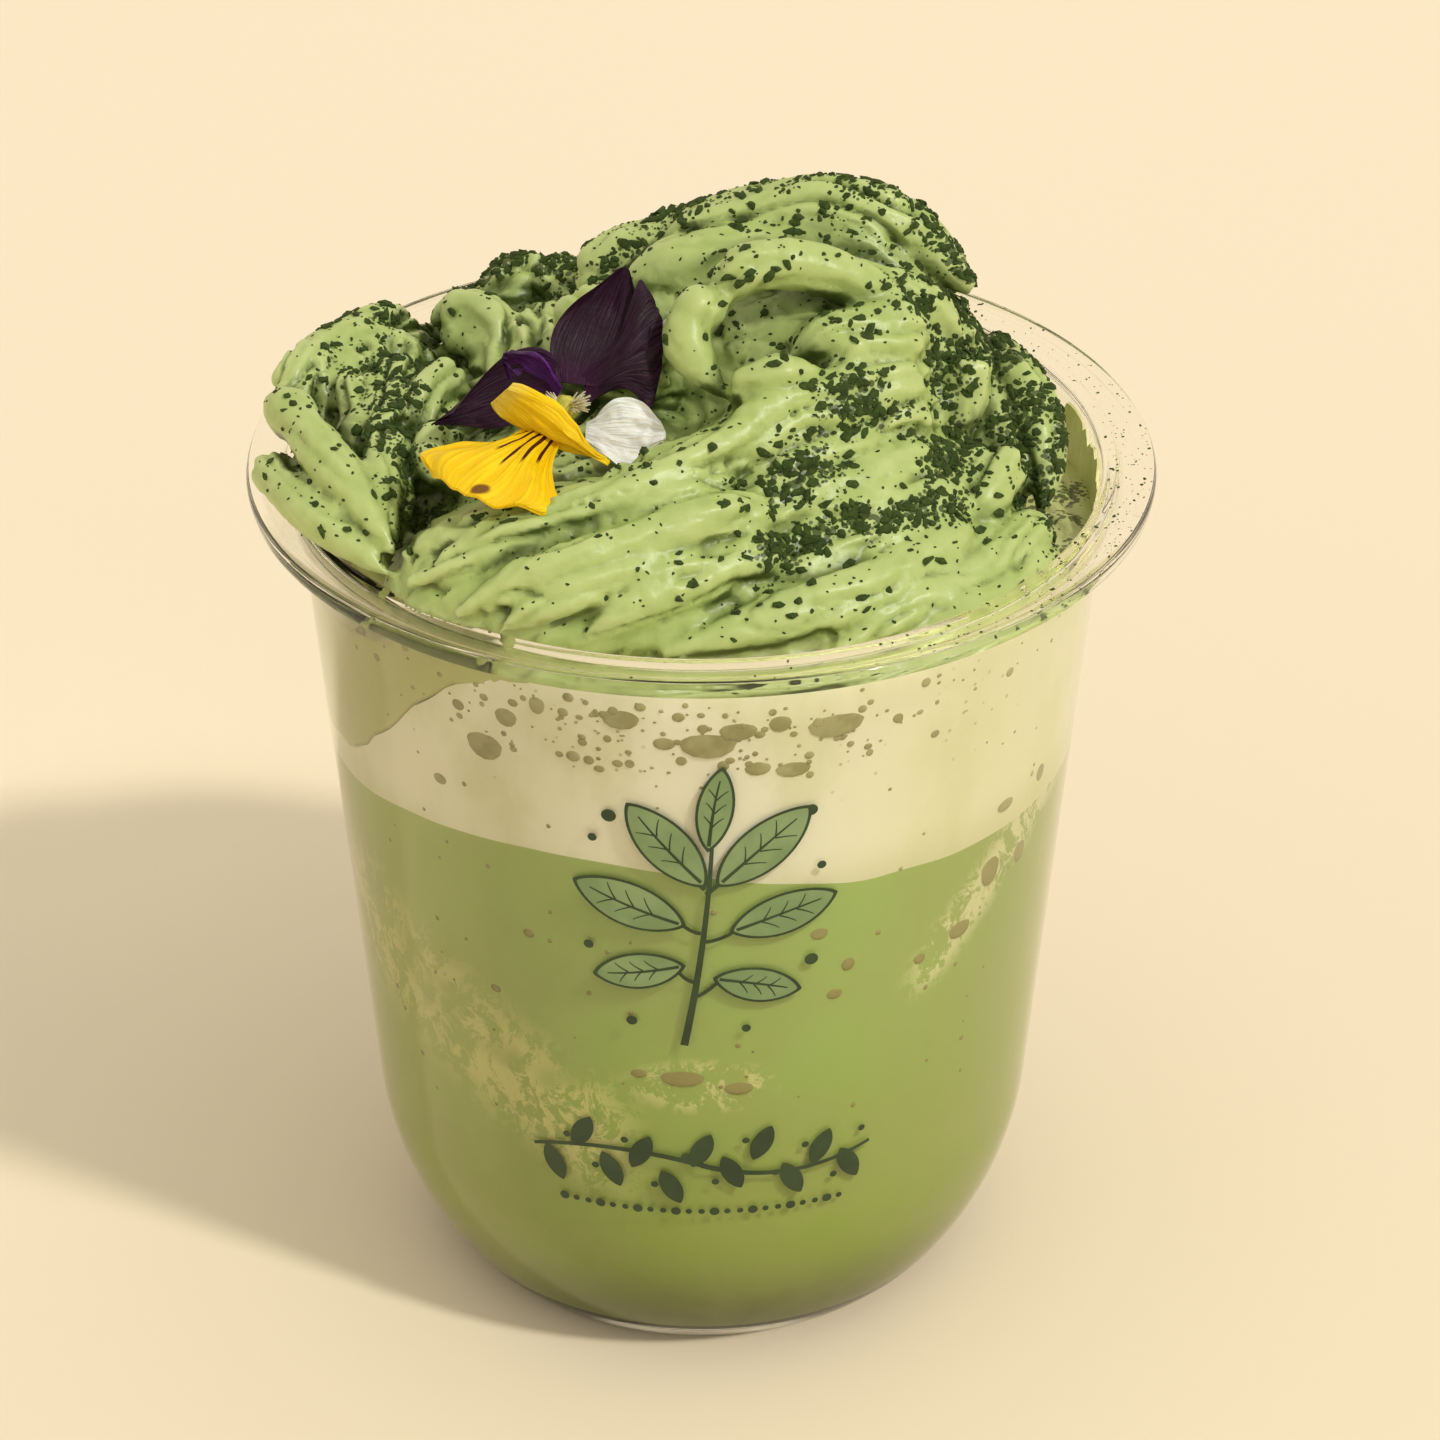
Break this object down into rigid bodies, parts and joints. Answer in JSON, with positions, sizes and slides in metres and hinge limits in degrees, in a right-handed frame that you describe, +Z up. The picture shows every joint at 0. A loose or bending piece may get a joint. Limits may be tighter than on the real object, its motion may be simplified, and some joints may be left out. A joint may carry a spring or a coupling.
{
  "type": "matcha frappe in a clear cup",
  "caption": "Blended matcha drink with milk foam and a heap of piped green cream, dusted with powder and topped with a viola flower, in a clear flanged cup with a round bottom.",
  "frame": {"origin": "middle of the cup's foot ring, on the table", "axes": "+Z up along the cup's axis, -Y towards the front, +X to the right as seen from the front"},
  "size_m": [0.098, 0.098, 0.1267],
  "materials": {
    "clear_plastic": "clear glossy plastic",
    "matcha_drink": "smooth blended drink seen through the cup",
    "milk_foam": "fine foam with bubbles at the wall",
    "cream": "soft satin cream",
    "purple_petal": "velvety petal",
    "yellow_petal": "velvety petal",
    "white_petal": "velvety petal",
    "flower_centre": "downy"
  },
  "bodies": {
    "root": {"cup": "clear_plastic", "matcha_drink": "matcha_drink", "milk_foam": "milk_foam", "whipped_cream": "cream", "petal_purple_upper": "purple_petal", "petal_purple_right": "purple_petal", "petal_purple_left": "purple_petal", "petal_yellow_lip": "yellow_petal", "petal_yellow_side": "yellow_petal", "petal_white_right": "white_petal", "petal_white_back": "white_petal", "flower_centre": "flower_centre"}
  },
  "joints": []
}
